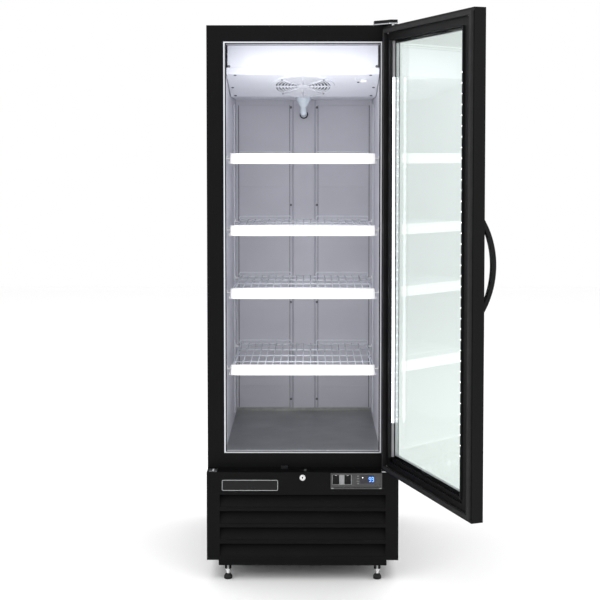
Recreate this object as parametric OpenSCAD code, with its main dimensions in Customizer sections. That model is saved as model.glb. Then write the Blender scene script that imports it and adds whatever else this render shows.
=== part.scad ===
// Upright reach-in refrigerator with one hinged glass door and a machine compartment below.
// Millimetres, +Z up. The origin is on the floor, at the centre of the four levelling feet.
// The door faces -Y and is hinged at +X. It is drawn open by door_open degrees.

/* [Cabinet] */
// Width over the side panels
cab_w = 691; // [660:1:710]
// Depth from the face frame to the outer back
cab_d = 760; // [740:1:780]
// Height of the cabinet top above the floor
cab_h = 2003; // [1980:1:2040]
// Distance of the face frame in front of the origin
face_front = 350; // [345:1:355]
// Width of each upright of the face frame
stile_face = 60.5; // [50:0.5:66]
// Height of the header above the opening
header_h = 60; // [50:1:64]
// Thickness of the insulated back wall
back_wall = 42; // [36:1:48]
// Height of the food compartment's floor
floor_z = 456; // [448:1:470]
// Thickness of the outer sheet metal and of the inner liner
sheet_t = 1.5; // [1:0.1:2]
// Width of the plastic trim that lines the opening
trim_w = 7; // [5:1:8]

/* [Base] */
// Height of the ledge on top of the lower panel
ledge_z = 397; // [390:1:400]
// Height of the lower panel's bottom edge
panel_z = 77; // [74:1:80]
// How far the lower panel stands in front of the face frame
panel_out = 51; // [50:1:54]
// Thickness of the lower panel
panel_t = 2; // [1.5:0.1:2.5]
// Number of air slots in the lower panel
slot_count = 4; // [3:1:4]
// Height of one air slot
slot_h = 45.5; // [40:0.5:48]
// Distance between air slots
slot_pitch = 59.6; // [56:0.1:60]
// Half the width of an air slot
slot_half = 299; // [280:1:300]
// Height of the skirt's lower edge
skirt_z = 54; // [50:1:60]
// Half the width of the skirt
skirt_half = 304; // [295:1:310]

/* [Feet] */
// Half the distance between the left and right feet
foot_x = 271; // [260:1:280]
// Half the distance between the front and rear feet
foot_y = 370; // [366:1:372]
// Radius of a foot's pad
pad_r = 15; // [13:0.5:18]
// Radius of a foot's threaded stem
stem_r = 6; // [5:0.5:7]

/* [Door] */
// Opening angle at which the door is drawn
door_open = 110.6; // [60:0.1:118]
// Width of the door
door_w = 680; // [676:1:684]
// Thickness of the door frame
door_t = 40; // [38:1:40]
// Height of the door's lower edge
door_z0 = 402; // [401:0.5:405]
// Gap between the cabinet top and the door's upper edge
door_top_gap = 11; // [8:1:14]
// Width of the door's uprights
door_stile = 65; // [60:1:70]
// Height of the door's top rail
door_rail = 50; // [45:1:55]
// Height of the door's bottom rail
door_sill = 45; // [42:1:50]
// Distance from the door's hinge side to the hinge axis
pin_inset = 19; // [18:1:21]
// Radius of the hinge pins
pin_r = 5; // [4:0.5:6]
// How far the light bars stand out behind the door frame
led_h = 6; // [4:1:8]

/* [Handle] */
// Length of the handle
handle_len = 299; // [250:1:340]
// Reach of the handle in front of the door
handle_out = 45; // [42:1:56]
// Finger room behind the handle
handle_gap = 31; // [26:1:34]
// Height of the handle's middle
handle_z = 1199; // [1000:1:1400]

/* [Shelves] */
// Heights of the tops of the four price rails
rail_tops = [1544, 1282, 1052, 772];
// Width of a shelf
shelf_w = 524; // [500:1:530]
// Depth of a shelf
shelf_d = 555; // [500:1:580]
// Distance of the price rails behind the face frame
shelf_back = 30; // [26:1:40]
// Height of a price rail
rail_h = 38; // [34:1:42]
// Number of wires across a shelf
wire_count = 19; // [15:1:21]
// Distance between the slots in the shelf standards
slot_step = 25; // [25:5:50]

/* [Evaporator] */
// Distance of the cover behind the face frame
evap_back = 110; // [100:1:120]
// Height of the cover's fold above its slope
evap_fold_z = 1835; // [1830:1:1840]
// Height of the cover's flat bottom
evap_low_z = 1763; // [1760:1:1770]
// Depth of the cover's sloping part
evap_slope_d = 240; // [230:1:250]
// Radius of the fan grille
grille_r = 119; // [112:1:120]

/* [Hidden] */
$fn = 48;

face_y = -face_front;
back_y = face_y + cab_d;
half_w = cab_w / 2;
open_half = half_w - stile_face;
in_half = open_half - sheet_t;
in_top = cab_h - header_h;
in_back = back_y - back_wall;
panel_y = face_y - panel_out;
over = 1;

// hinge axis: the closed door's outer face is level with the lower panel
pin_x = door_w / 2 - pin_inset;
pin_y = panel_y + 11;
gasket_gap = panel_out - door_t;
bracket_t = 4;
door_out = panel_y - pin_y;
door_in = door_out + door_t;
door_free = pin_inset - door_w;
door_top = cab_h - door_top_gap;
stile_in = pin_inset - door_stile;
free_in = door_free + door_stile;
frame_wall = 3;
glass_t = 4;
glass_out = door_out + 3;
glass_in = glass_out + 20;
glass_bite = 8;
glass_x0 = free_in - glass_bite;
glass_x1 = stile_in + glass_bite;
glass_z0 = door_z0 + door_sill - glass_bite;
glass_z1 = door_top - door_rail + glass_bite;
groove = glass_bite + 2;
web = groove + 1;
sill_bead_h = 13;
spacer_w = 13;
spacer_top = 18;
spacer_low = 31;
led_w = 5;
led_z0 = door_z0 + door_sill + sill_bead_h + 3;
led_z1 = door_top - door_rail - 1;
corner_gap = 0.1;
running = 0.05;

shelf_front = face_y + shelf_back;
deck_drop = 8;
clip_h = 10;
clip_gap = 0.3;
rod = 5;
wire = 3;
standard_t = 5;
standard_w = 20;
standard_ys = [shelf_front + 30, shelf_front + shelf_d - 20];

evap_y = face_y + evap_back;
slope_a = atan((evap_fold_z - evap_low_z) / evap_slope_d);
fan_y = evap_y + evap_slope_d / 2;
fan_z = (evap_fold_z + evap_low_z) / 2;
cover_t = 1.2;
cover_half = 281;
cover_top_half = 277;
evap_top_z = 1940;
evap_step_z = 1857;
drain_y = 90;
drain_z = 1703;
line_x = 250;
line_y = (in_back + back_y) / 2 - 1;
line_r = 4;
line_z = evap_low_z + 78;

slot_z0 = panel_z + 14;
lock_z = 378;
lock_throw = 8;
bolt_x = 10;
bolt_y = panel_y + 27;
bolt_proud = 4;
bezel_x0 = 101;
bezel_x1 = 286;
bezel_z0 = 338;
bezel_z1 = 395;
switch_z = 371.5;
light_x = 120;
power_x = 162.5;
rocker_half = 11.1;
rocker_rest = -6;
rocker_pivot = 5;
rocker_pin_r = 1.5;
pin_reach = 12.6;
ctrl_x0 = 192;
ctrl_x1 = 261;
ctrl_z0 = 352;
ctrl_z1 = 389.5;
door_switch_x = -67;
cond_fan_x = -115;
cond_fan_z = 205;

// a block from its lowest to its highest corner
module block(x0, x1, y0, y1, z0, z1) {
    translate([x0, y0, z0]) cube([x1 - x0, y1 - y0, z1 - z0]);
}

// children and their mirror image across the middle of the cabinet
module both_sides() {
    children();
    mirror([1, 0, 0]) children();
}

// a straight round bar between two points that share two coordinates
module bar(a, b, r) {
    d = b - a;
    turn = d[0] != 0 ? [0, sign(d[0]) * 90, 0]
        : d[1] != 0 ? [-sign(d[1]) * 90, 0, 0]
        : [d[2] < 0 ? 180 : 0, 0, 0];
    translate(a) rotate(turn) cylinder(r = r, h = norm(d));
}

// a tube that runs through points along the axes, with a ball at each bend
module pipe(points, r) {
    for (i = [1 : len(points) - 1]) bar(points[i - 1], points[i], r);
    if (len(points) > 2) for (i = [1 : len(points) - 2]) translate(points[i]) sphere(r = r * 1.12);
}

// a flat outline in the Y-Z plane, drawn out along X
module along_x(x0, x1) {
    translate([x0, 0, 0]) rotate([90, 0, 90]) linear_extrude(x1 - x0) children();
}

// ---- cabinet shell ----

module side_panel() {
    color("#1c1c1d") {
        block(half_w - sheet_t, half_w, face_y, back_y, panel_z, cab_h);
        block(open_half, half_w - sheet_t, face_y, face_y + sheet_t, ledge_z, cab_h);
    }
}

module left_side_panel() {
    mirror([1, 0, 0]) side_panel();
}

module right_side_panel() {
    side_panel();
}

module face_trim() {
    color("#1a1a1b") {
        block(-open_half, open_half, face_y, face_y + sheet_t, in_top + sheet_t, cab_h);
        block(-open_half, open_half, face_y, face_y + sheet_t, ledge_z, floor_z - sheet_t);
    }
}

module top_panel() {
    x = half_w - sheet_t;
    color("#202021") block(-x, x, face_y + sheet_t, back_y - sheet_t, cab_h - sheet_t, cab_h);
}

module outer_back() {
    x = half_w - sheet_t;
    color("#8d9094") block(-x, x, back_y - sheet_t, back_y, ledge_z + 2, cab_h);
}

module line_channel(r) {
    bar([line_x, line_y, ledge_z - over], [line_x, line_y, line_z], r);
    translate([line_x, line_y, line_z]) sphere(r = r * 1.25);
    bar([line_x, line_y, line_z], [line_x, in_back - over, line_z], r);
}

module foam_insulation() {
    color("#d9c98a") difference() {
        block(-half_w + sheet_t, half_w - sheet_t, face_y + sheet_t, back_y - sheet_t,
            ledge_z + sheet_t, cab_h - sheet_t);
        block(-open_half, open_half, face_y, in_back + sheet_t, floor_z - sheet_t, in_top + sheet_t);
        line_channel(line_r + 3);
    }
}

module inner_liner() {
    color("#c3c4cb") {
        both_sides() block(in_half, open_half, face_y, in_back + sheet_t,
            floor_z - sheet_t, in_top + sheet_t);
        difference() {
            block(-in_half + corner_gap, in_half - corner_gap, in_back, in_back + sheet_t,
                floor_z, in_top + sheet_t);
            bar([0, in_back - over, drain_z], [0, in_back + sheet_t + over, drain_z], 12.5);
            bar([line_x, in_back - over, line_z], [line_x, in_back + sheet_t + over, line_z], line_r + 1);
        }
        block(-in_half + corner_gap, in_half - corner_gap, face_y, in_back - corner_gap,
            in_top, in_top + sheet_t);
    }
}

module floor_deck() {
    color("#8f938f") {
        block(-in_half, in_half, face_y, in_back + sheet_t, floor_z - sheet_t, floor_z);
        block(-in_half, in_half, in_back - sheet_t, in_back, floor_z, floor_z + 12);
    }
}

// four strips that line the front edge of the opening
module opening_trim() {
    depth = 12;
    color("#dfe1e4") {
        both_sides() block(in_half - trim_w, in_half, face_y, face_y + depth, floor_z, in_top);
        for (z = [floor_z, in_top - trim_w])
            block(-in_half + trim_w + corner_gap, in_half - trim_w - corner_gap,
                face_y, face_y + depth, z, z + trim_w);
    }
}

// ---- food compartment ----

module duct_outline() {
    t = 1.2;
    proud = 10;
    polygon([
        [-58, 0], [-50, 0], [-41, -proud], [41, -proud], [50, 0], [58, 0],
        [58, -t], [51, -t], [42, -proud - t], [-42, -proud - t], [-51, -t], [-58, -t]
    ]);
}

module duct_channel() {
    color("#c9cad1") difference() {
        translate([0, in_back, floor_z + 14]) linear_extrude(evap_low_z - floor_z - 15) duct_outline();
        bar([0, in_back - 20, drain_z], [0, in_back + over, drain_z], 17);
    }
}

module standard(y) {
    z0 = floor_z + 24;
    z1 = evap_low_z - 23;
    difference() {
        block(in_half - standard_t, in_half, y - standard_w / 2, y + standard_w / 2, z0, z1);
        for (z = [z0 + 20 : slot_step : z1 - 20])
            block(in_half - standard_t - over, in_half - 2, y - 2.5, y + 2.5, z - 6, z + 6);
    }
}

module shelf_standards() {
    color("#b9bbc2") both_sides() for (y = standard_ys) standard(y);
}

module clip(y, z) {
    reach = in_half - standard_t - shelf_w / 2 + 8;
    x1 = in_half - standard_t;
    block(x1 - reach, x1, y - 6, y + 6, z - 3, z);
    block(x1 - 3, x1, y - 6, y + 6, z - 3, z - 3 + clip_h);
}

module shelf_clips() {
    color("#e8e8ea") both_sides() for (top = rail_tops, y = standard_ys)
        clip(y, top - deck_drop - rod - wire - clip_gap);
}

// the wires of one shelf: cross rods, side rods, long wires and two rear guards
module shelf(top) {
    z1 = top - deck_drop;
    z0 = z1 - wire - rod;
    y0 = shelf_front + 5;
    y1 = shelf_front + shelf_d;
    half = shelf_w / 2;
    spans = [0, 0.25, 0.5, 0.75, 1];
    guard_r = 12;
    guard_t = 4;
    color("#e9eaee") {
        translate([0, 0, z0]) linear_extrude(rod) {
            for (s = spans) translate([-half, y0 + s * (y1 - y0 - rod)]) square([shelf_w, rod]);
            for (x = [-half, half - rod]) translate([x, y0]) square([rod, y1 - y0]);
        }
        translate([0, 0, z0 + rod - 0.5]) linear_extrude(wire + 0.5) for (i = [0 : wire_count - 1])
            translate([-half + rod + 4 + i * (shelf_w - 2 * rod - 8 - wire) / (wire_count - 1), y0])
                square([wire, y1 - y0]);
        both_sides() translate([0, y1 - 0.5, 0]) rotate([90, 0, 0]) linear_extrude(guard_t) difference() {
            rounded(49, half + 3, z0 + 2, top + 6, guard_r);
            rounded(49 + guard_t, half + 3 - guard_t, z0 + 2 + guard_t, top + 6 - guard_t,
                guard_r - guard_t);
        }
    }
}

// rectangle with round corners, from its corner coordinates
module rounded(x0, x1, y0, y1, r) {
    difference() {
        translate([x0, y0]) square([x1 - x0, y1 - y0]);
        for (c = [[x0, y0, 1, 1], [x1, y0, -1, 1], [x0, y1, 1, -1], [x1, y1, -1, -1]])
            translate([c[0] + c[2] * r, c[1] + c[3] * r]) difference() {
                translate([c[2] < 0 ? 0 : -r - over, c[3] < 0 ? 0 : -r - over]) square(r + over);
                circle(r = r);
            }
    }
}

// the price rail hooks under the shelf's front rod
module price_rail(top) {
    t = 2;
    seat = top - deck_drop - wire - rod;
    color("#f4f4f6") along_x(-shelf_w / 2 - 1, shelf_w / 2 + 1) {
        translate([shelf_front, top - rail_h]) square([t, rail_h]);
        translate([shelf_front, top - t]) square([8, t]);
        translate([shelf_front, seat - t]) square([14, t]);
    }
}

// ---- evaporator ----

// moves children to the fan axis, with +Z straight up through the sloping cover
module on_slope() {
    translate([0, fan_y, fan_z]) rotate([-slope_a, 0, 0]) children();
}

module cover_outline() {
    lift = cover_t / cos(slope_a);
    polygon([
        [evap_y, evap_step_z], [evap_y, evap_fold_z], [evap_y + evap_slope_d, evap_low_z],
        [in_back, evap_low_z], [in_back, evap_low_z + cover_t],
        [evap_y + evap_slope_d + (lift - cover_t) / tan(slope_a), evap_low_z + cover_t],
        [evap_y + cover_t, evap_fold_z - tan(slope_a) * cover_t + lift], [evap_y + cover_t, evap_step_z]
    ]);
}

module cover_end_outline() {
    polygon([
        [evap_y, evap_top_z], [evap_y, evap_fold_z], [evap_y + evap_slope_d, evap_low_z],
        [in_back - over, evap_low_z], [in_back - over, evap_top_z]
    ]);
}

module evap_cover() {
    color("#e6e8ee") difference() {
        union() {
            along_x(-cover_half, cover_half) cover_outline();
            block(-cover_top_half, cover_top_half, evap_y, evap_y + cover_t,
                evap_step_z - over, evap_top_z);
            both_sides() along_x(cover_top_half - cover_t, cover_top_half) cover_end_outline();
        }
        on_slope() cylinder(r = grille_r - 14, h = 40, center = true);
        translate([0, drain_y, evap_low_z]) cylinder(r = 10, h = 10, center = true);
    }
}

module evap_fan_grille() {
    rib = 4;
    depth = 5;
    color("#eceef2") on_slope() translate([0, 0, -depth]) linear_extrude(depth) {
        circle(r = 24);
        for (r = [36 : 12 : 96]) difference() {
            circle(r = r + rib / 2);
            circle(r = r - rib / 2);
        }
        difference() {
            circle(r = grille_r);
            circle(r = grille_r - 15);
        }
        for (a = [0 : 45 : 315]) rotate(a) translate([22, -rib / 2]) square([grille_r - 33, rib]);
    }
}

module evap_fan_motor() {
    arm_z = 52;
    color("#55585c") on_slope() {
        translate([0, 0, 20]) cylinder(r = 3, h = 30);
        translate([0, 0, 48]) cylinder(r = 28, h = 44);
        for (a = [45 : 90 : 315]) rotate([0, 0, a]) {
            translate([20, -6, arm_z]) cube([92, 12, 3]);
            translate([109, -6, cover_t]) cube([3, 12, arm_z + 1]);
        }
    }
}

// a hub with flat tilted blades round +Z
module fan(hub_r, tip_r, hub_h, shaft, blades) {
    difference() {
        union() {
            cylinder(r = hub_r, h = hub_h, center = true);
            for (i = [0 : blades - 1]) rotate([0, 0, i * 360 / blades]) translate([hub_r - 5, 0, 0])
                rotate([28, 0, 0]) translate([0, -26, -1]) cube([tip_r - hub_r, 52, 2]);
        }
        cylinder(r = shaft + running, h = hub_h + 2 * over, center = true);
    }
}

module evap_fan_blade() {
    color("#2b2c2e") on_slope() translate([0, 0, 28]) fan(24, 98, 22, 3, 5);
}

module evap_coil() {
    half = 225;
    z0 = evap_low_z + 32;
    color("#a9adb2") {
        block(-half, half, 70, in_back - 36, z0, z0 + 118);
        both_sides() block(half - over, half + 2, 90, in_back - 56, z0, in_top);
        for (z = [z0 + 20 : 26 : z0 + 98]) for (y = [110 : 60 : 300])
            bar([-half - 16, y, z], [half + 16, y, z], 4.8);
    }
}

module drain_hose() {
    r = 12;
    color("#dfe5ea") {
        translate([0, drain_y, drain_z]) rotate_extrude() polygon([
            [0, 0], [r, 0], [r, 22], [32, 54], [32, evap_low_z - drain_z], [0, evap_low_z - drain_z]
        ]);
        translate([0, drain_y, drain_z]) sphere(r = r * 1.1);
        bar([0, drain_y, drain_z], [0, in_back + 1, drain_z], r);
    }
}

// ---- base and lower panel ----

module base_chassis() {
    t = 2;
    y0 = panel_y + 11;
    y1 = back_y - 10;
    color("#202021") {
        x0 = half_w - panel_t;
        x1 = half_w - sheet_t;
        block(-x0, x0, panel_y + panel_t, face_y, panel_z, panel_z + t);
        block(-x1, x1, face_y, back_y - sheet_t, panel_z, panel_z + t);
        difference() {
            block(-skirt_half, skirt_half, y0, y1, skirt_z, panel_z + over);
            block(-skirt_half + t, skirt_half - t, y0 + t, y1 - t, skirt_z - over, panel_z);
        }
    }
    color("#8a8d90") for (x = [-foot_x, foot_x], s = [-1, 1]) translate([x, s * foot_y, 37]) difference() {
        cylinder(r = 12, h = panel_z - 36);
        translate([0, 0, -over]) cylinder(r = stem_r + running, h = panel_z - 37);
        translate([-5.5, s < 0 ? -13 : 0, -over]) cube([11, 13, 18]);
    }
}

function slot_z(i) = slot_z0 + i * slot_pitch;

module lower_panel() {
    color("#1b1b1c") difference() {
        union() {
            block(-half_w, half_w, panel_y, panel_y + panel_t, panel_z, ledge_z);
            block(-half_w, half_w, panel_y, face_y, ledge_z - panel_t, ledge_z);
            both_sides() block(half_w - panel_t, half_w, panel_y, face_y, panel_z, ledge_z);
        }
        for (i = [0 : slot_count - 1])
            block(-slot_half, slot_half, panel_y - over, panel_y + panel_t + over,
                slot_z(i), slot_z(i) + slot_h);
        block(bezel_x0 + 5, bezel_x1 - 5, panel_y - over, panel_y + panel_t + over,
            bezel_z0 + 5, bezel_z1 - 5);
        bar([0, panel_y - over, lock_z], [0, panel_y + 10, lock_z], 9.1);
        translate([bolt_x, bolt_y, ledge_z - 10]) cylinder(r = 5, h = 20);
    }
}

// one sloping blade behind each air slot
module louver_blades() {
    edge = 2.6;
    depth = 28;
    rise = slot_h + 6;
    y0 = panel_y + panel_t;
    color("#111112") for (i = [0 : slot_count - 1]) translate([0, y0, slot_z(i) - 2])
        along_x(-slot_half - 8, slot_half + 8)
            polygon([[0, 0], [0, edge], [depth, rise], [depth, rise - edge]]);
}

// ---- controls, lock and door switch ----

module control_bezel() {
    lip = 6;
    box_d = 15;
    color("#77787b") difference() {
        union() {
            block(bezel_x0, bezel_x1, panel_y - lip, panel_y, bezel_z0, bezel_z1);
            block(light_x - 13, power_x + 13, panel_y - 2, panel_y + box_d, switch_z - 18, switch_z + 18);
        }
        block(bezel_x0 + 5, bezel_x1 - 5, panel_y - lip - over, panel_y - 2, bezel_z0 + 5, bezel_z1 - 5);
        block(ctrl_x0, ctrl_x1, panel_y - lip, panel_y + over, ctrl_z0, ctrl_z1);
        for (x = [light_x, power_x]) {
            block(x - 11.6, x + 11.6, panel_y - lip, panel_y + box_d - 2, switch_z - 17, switch_z + 17);
            rocker_pin(x, pin_reach + over, rocker_pin_r + running);
        }
    }
}

module controller() {
    color("#2a2c33") block(ctrl_x0, ctrl_x1, panel_y - 4.5, panel_y + 16, ctrl_z0, ctrl_z1);
}

module rocker_pin(x, reach, r) {
    y = panel_y + rocker_pivot;
    bar([x - reach, y, switch_z], [x + reach, y, switch_z], r);
}

// a rocker, tipped about two short pins that lie rocker_pivot behind the panel's face
module rocker(x) {
    color("#141415") {
        translate([0, panel_y + rocker_pivot, switch_z]) rotate([rocker_rest, 0, 0])
            along_x(x - rocker_half, x + rocker_half) polygon([
                [-8, 0], [-9.6, 15.2], [4, 9], [4, -9], [-9.6, -15.2]
            ]);
        rocker_pin(x, pin_reach, rocker_pin_r);
    }
}

module light_rocker() {
    rocker(light_x);
}

module power_rocker() {
    rocker(power_x);
}

// moves children to the lock's axis, with +Z towards the back
module on_lock() {
    translate([0, panel_y, lock_z]) rotate([-90, 0, 0]) children();
}

module lock_barrel() {
    color("#c9ccd0") on_lock() difference() {
        union() {
            translate([0, 0, -3]) cylinder(r = 10.5, h = 3);
            cylinder(r = 9, h = 17);
        }
        translate([0, 0, -3 - over]) cylinder(r = 7 + running, h = 20 + 2 * over);
    }
}

module lock_core() {
    color("#b4b7bb") on_lock() {
        difference() {
            translate([0, 0, -2.4]) cylinder(r = 7, h = 21);
            translate([-0.9, -4.5, -2.4 - over]) cube([1.8, 9, 6]);
            translate([0, 0, -2.4 - over]) cylinder(r = 3, h = 2 + over);
        }
        translate([0, 0, 17.5]) cylinder(r = 11, h = 3);
        translate([lock_throw, 0, 17.5]) cylinder(r = 2, h = 14.5);
    }
}

module lock_bolt() {
    color("#b4b7bb") {
        translate([bolt_x, bolt_y, lock_z + 5]) cylinder(r = 4.5, h = ledge_z + bolt_proud - lock_z - 5);
        difference() {
            block(-5, bolt_x + 5, bolt_y - 2, bolt_y + 2, lock_z - 6, lock_z + 6.5);
            block(-2.6, lock_throw + 2.8, bolt_y - 3, bolt_y + 3, lock_z - 2.5, lock_z + 4.1);
        }
    }
}

module door_switch() {
    x = door_switch_x;
    z = ledge_z + 6;
    color("#242526") difference() {
        block(x - 12, x + 12, face_y - 7, face_y, ledge_z, ledge_z + 12);
        bar([x, face_y - 8, z], [x, face_y - 0.4, z], 3.5 + running);
    }
}

module switch_plunger() {
    x = door_switch_x;
    z = ledge_z + 6;
    color("#303234") bar([x, face_y - 10.5, z], [x, face_y - 3.6, z], 3.5);
}

// ---- machine compartment ----

module compressor() {
    x = 180;
    y = 150;
    z = panel_z + 2;
    color("#26282b") {
        translate([x, y, z + 12]) rotate_extrude() polygon([
            [0, 0], [68, 0], [78, 14], [78, 118], [70, 146], [50, 164], [22, 174], [0, 176]
        ]);
        block(x - 95, x + 95, y - 60, y + 60, z + 9, z + 13);
        for (dx = [-82, 82], dy = [-48, 48]) translate([x + dx, y + dy, z]) cylinder(r = 10, h = 10);
        block(x - 30, x + 30, y - 104, y - 60, z + 40, z + 110);
    }
}

module condenser_coil() {
    z0 = panel_z + 4;
    color("#3a3d40") {
        block(-290, 60, -335, -275, z0, z0 + 250);
        block(-292, 62, -330, -280, z0 - 2, z0 + 1);
        for (z = [z0 + 20 : 30 : z0 + 230]) for (y = [-318, -292]) bar([-302, y, z], [72, y, z], 4.5);
    }
}

module condenser_fan_motor() {
    color("#4a4d50") {
        difference() {
            block(cond_fan_x - 125, cond_fan_x + 125, -272, -269, panel_z + 2, cond_fan_z + 122);
            bar([cond_fan_x, -274, cond_fan_z], [cond_fan_x, -267, cond_fan_z], 102);
        }
        bar([cond_fan_x, -246, cond_fan_z], [cond_fan_x, -200, cond_fan_z], 4);
        bar([cond_fan_x, -206, cond_fan_z], [cond_fan_x, -150, cond_fan_z], 34);
        for (s = [-1, 1]) {
            x = cond_fan_x + s * 70;
            block(x - 50, x + 50, -200, -196, cond_fan_z - 6, cond_fan_z + 6);
            block(x + s * 48 - 2, x + s * 48 + 2, -270, -196, cond_fan_z - 6, cond_fan_z + 6);
        }
    }
}

module condenser_fan_blade() {
    color("#c8cacc") translate([cond_fan_x, -238, cond_fan_z]) rotate([90, 0, 0]) fan(24, 96, 20, 4, 4);
}

module refrigerant_lines() {
    color("#b87a4b") {
        pipe([[180, 46, 150], [180, -60, 150], [180, -60, 251], [180, -292, 251], [72, -292, 251]], line_r);
        pipe([
            [72, -318, 131], [230, -318, 131], [230, -318, 95], [line_x + 60, -318, 95],
            [line_x + 60, line_y, 95], [line_x, line_y, 95], [line_x, line_y, line_z],
            [line_x, 290, line_z], [241, 290, line_z]
        ], line_r);
        bar([180, -60, 190], [180, -60, 240], 11);
    }
}

module evaporation_pan() {
    z = panel_z + 2;
    color("#6c7074") difference() {
        block(-300, -40, 160, 385, z, z + 55);
        block(-297, -43, 163, 382, z + 2, z + 56);
    }
}

module rear_grille() {
    rows = 9;
    cols = 5;
    color("#3f4246") difference() {
        block(-half_w + sheet_t, half_w - sheet_t, back_y - sheet_t, back_y, panel_z, ledge_z);
        for (i = [0 : rows - 1], j = [0 : cols - 1])
            translate([-270 + j * 112, back_y - 5, 165 + i * 24]) cube([92, 10, 8]);
        bar([-250, back_y - 6, 120], [-250, back_y + 6, 120], 8.1);
    }
}

module cord_gland() {
    color("#151516") difference() {
        union() {
            bar([-250, back_y - 6, 120], [-250, back_y, 120], 8);
            bar([-250, back_y, 120], [-250, back_y + 4, 120], 12);
        }
        bar([-250, back_y - 7, 120], [-250, back_y + 5, 120], 4.5);
    }
}

// ---- hinges ----

// plan of the top hinge: a round-cornered nose over the pin, widening to a foot on the cabinet top
module hinge_plan(grow) {
    r = 8 + grow;
    for (x = [pin_x - 8, pin_x + 8]) translate([x, pin_y]) circle(r = r);
    translate([pin_x - 8, pin_y - r]) square([16, r]);
    translate([pin_x - 8 - r, pin_y]) square([16 + 2 * r, face_y - pin_y]);
    translate([pin_x - 64 - grow, face_y]) square([80 + 2 * grow, 40 + grow]);
    polygon([[pin_x - 64 - grow, face_y + over], [pin_x - 8 - r, pin_y], [pin_x - 8, face_y + over]]);
}

module hinge_top_bracket() {
    color("#9a9da1") {
        translate([0, 0, cab_h]) linear_extrude(bracket_t) hinge_plan(0);
        translate([pin_x, pin_y, cab_h - 29]) cylinder(r = pin_r, h = 31);
    }
}

module hinge_cover() {
    z = cab_h + bracket_t;
    color("#0f0f10") difference() {
        translate([0, 0, z]) linear_extrude(11) hinge_plan(1);
        translate([0, 0, z - over]) linear_extrude(10) hinge_plan(-2);
    }
}

module hinge_bottom_bracket() {
    color("#9a9da1") {
        block(pin_x - 36, pin_x + 20, panel_y + 1, face_y - 2, ledge_z, ledge_z + 3);
        translate([pin_x, pin_y, ledge_z + 1]) cylinder(r = pin_r, h = 34);
    }
}

// ---- feet ----

module foot(x, y) {
    translate([x, y, 0]) {
        color("#1a1a1b") {
            cylinder(r = pad_r, h = 10);
            translate([0, 0, 10]) cylinder(r1 = pad_r, r2 = 8, h = 9);
        }
        color("#c5c8cc") {
            translate([0, 0, 18]) cylinder(r = stem_r, h = 54);
            translate([0, 0, 30]) cylinder(r = 10, h = 6.6, $fn = 6);
        }
    }
}

module foot_front_left() {
    foot(-foot_x, -foot_y);
}

module foot_front_right() {
    foot(foot_x, -foot_y);
}

module foot_rear_left() {
    foot(-foot_x, foot_y);
}

module foot_rear_right() {
    foot(foot_x, foot_y);
}

// ---- door: its own frame has the hinge axis on Z, the door running towards -X, its outside at -Y ----

module on_door() {
    translate([pin_x, pin_y, 0]) rotate([0, 0, door_open]) children();
}

// hollow upright with a groove for the glass on its +X or -X side
module door_upright(x0, x1, side) {
    inner0 = x0 + (side < 0 ? web + frame_wall : frame_wall);
    inner1 = x1 - (side > 0 ? web + frame_wall : frame_wall);
    edge = side > 0 ? x1 - groove : x0 - over;
    difference() {
        block(x0, x1, door_out, door_in, door_z0, door_top);
        block(inner0, inner1, door_out + frame_wall, door_in - frame_wall,
            door_z0 + frame_wall, door_top - frame_wall);
        block(edge, edge + groove + over, glass_out, glass_in, glass_z0 - 2, glass_z1 + 2);
    }
}

// hollow rail from z0 to z1; a bead from z1 to z2 hides the edge of the glass
module door_rail_bar(z0, z1, z2) {
    up = z1 > z0 ? 1 : -1;
    x0 = free_in + corner_gap;
    x1 = stile_in - corner_gap;
    difference() {
        union() {
            block(x0, x1, door_out, door_in, min(z0, z1), max(z0, z1));
            if (z2 != z1) {
                block(x0, x1, door_out, glass_out, z1 - over, z2);
                block(x0 + led_w + 1, x1 - led_w - 1, glass_in, door_in - 8, z1 - over, z2);
            }
        }
        block(x0 - over, x1 + over, glass_out, glass_in,
            min(z1 - up * groove, z1 + up), max(z1 - up * groove, z1 + up));
        block(x0 - over, x1 + over, door_out + frame_wall, door_in - frame_wall,
            min(z0 + up * frame_wall, z1 - up * (web + frame_wall)),
            max(z0 + up * frame_wall, z1 - up * (web + frame_wall)));
    }
}

module door_frame() {
    color("#1b1b1c") on_door() {
        difference() {
            door_upright(stile_in, pin_inset, -1);
            for (z = [door_z0 - over, door_top - frame_wall - over])
                translate([0, 0, z]) cylinder(r = pin_r + 0.6, h = frame_wall + 2 * over);
        }
        door_upright(door_free, free_in, 1);
        door_rail_bar(door_top, door_top - door_rail, door_top - door_rail);
        difference() {
            door_rail_bar(door_z0, door_z0 + door_sill, door_z0 + door_sill + sill_bead_h);
            translate([bolt_x - pin_x, bolt_y - pin_y, door_z0 - over])
                cylinder(r = 6.5, h = frame_wall + 2 * over);
        }
    }
}

module door_glass() {
    color("#bfd3cf", 0.35) on_door() for (y = [glass_out, glass_in - glass_t])
        block(glass_x0, glass_x1, y, y + glass_t, glass_z0, glass_z1);
}

module glass_spacer() {
    y0 = glass_out + glass_t;
    y1 = glass_in - glass_t;
    color("#141517") on_door() difference() {
        block(glass_x0 + 3, glass_x1 - 3, y0, y1, glass_z0 + 3, glass_z1 - 3);
        block(glass_x0 + spacer_w, glass_x1 - spacer_w, y0 - over, y1 + over,
            glass_z0 + spacer_low, glass_z1 - spacer_top);
    }
}

module door_gasket() {
    w = 13;
    edge = 10;
    y1 = door_in + gasket_gap - 0.3;
    color("#0d0d0e") on_door() difference() {
        block(door_free + 3, 0, door_in, y1, door_z0 + edge, door_top - edge);
        block(door_free + 3 + w, -w, door_in - over, y1 + over, door_z0 + edge + w, door_top - edge - w);
    }
}

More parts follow.
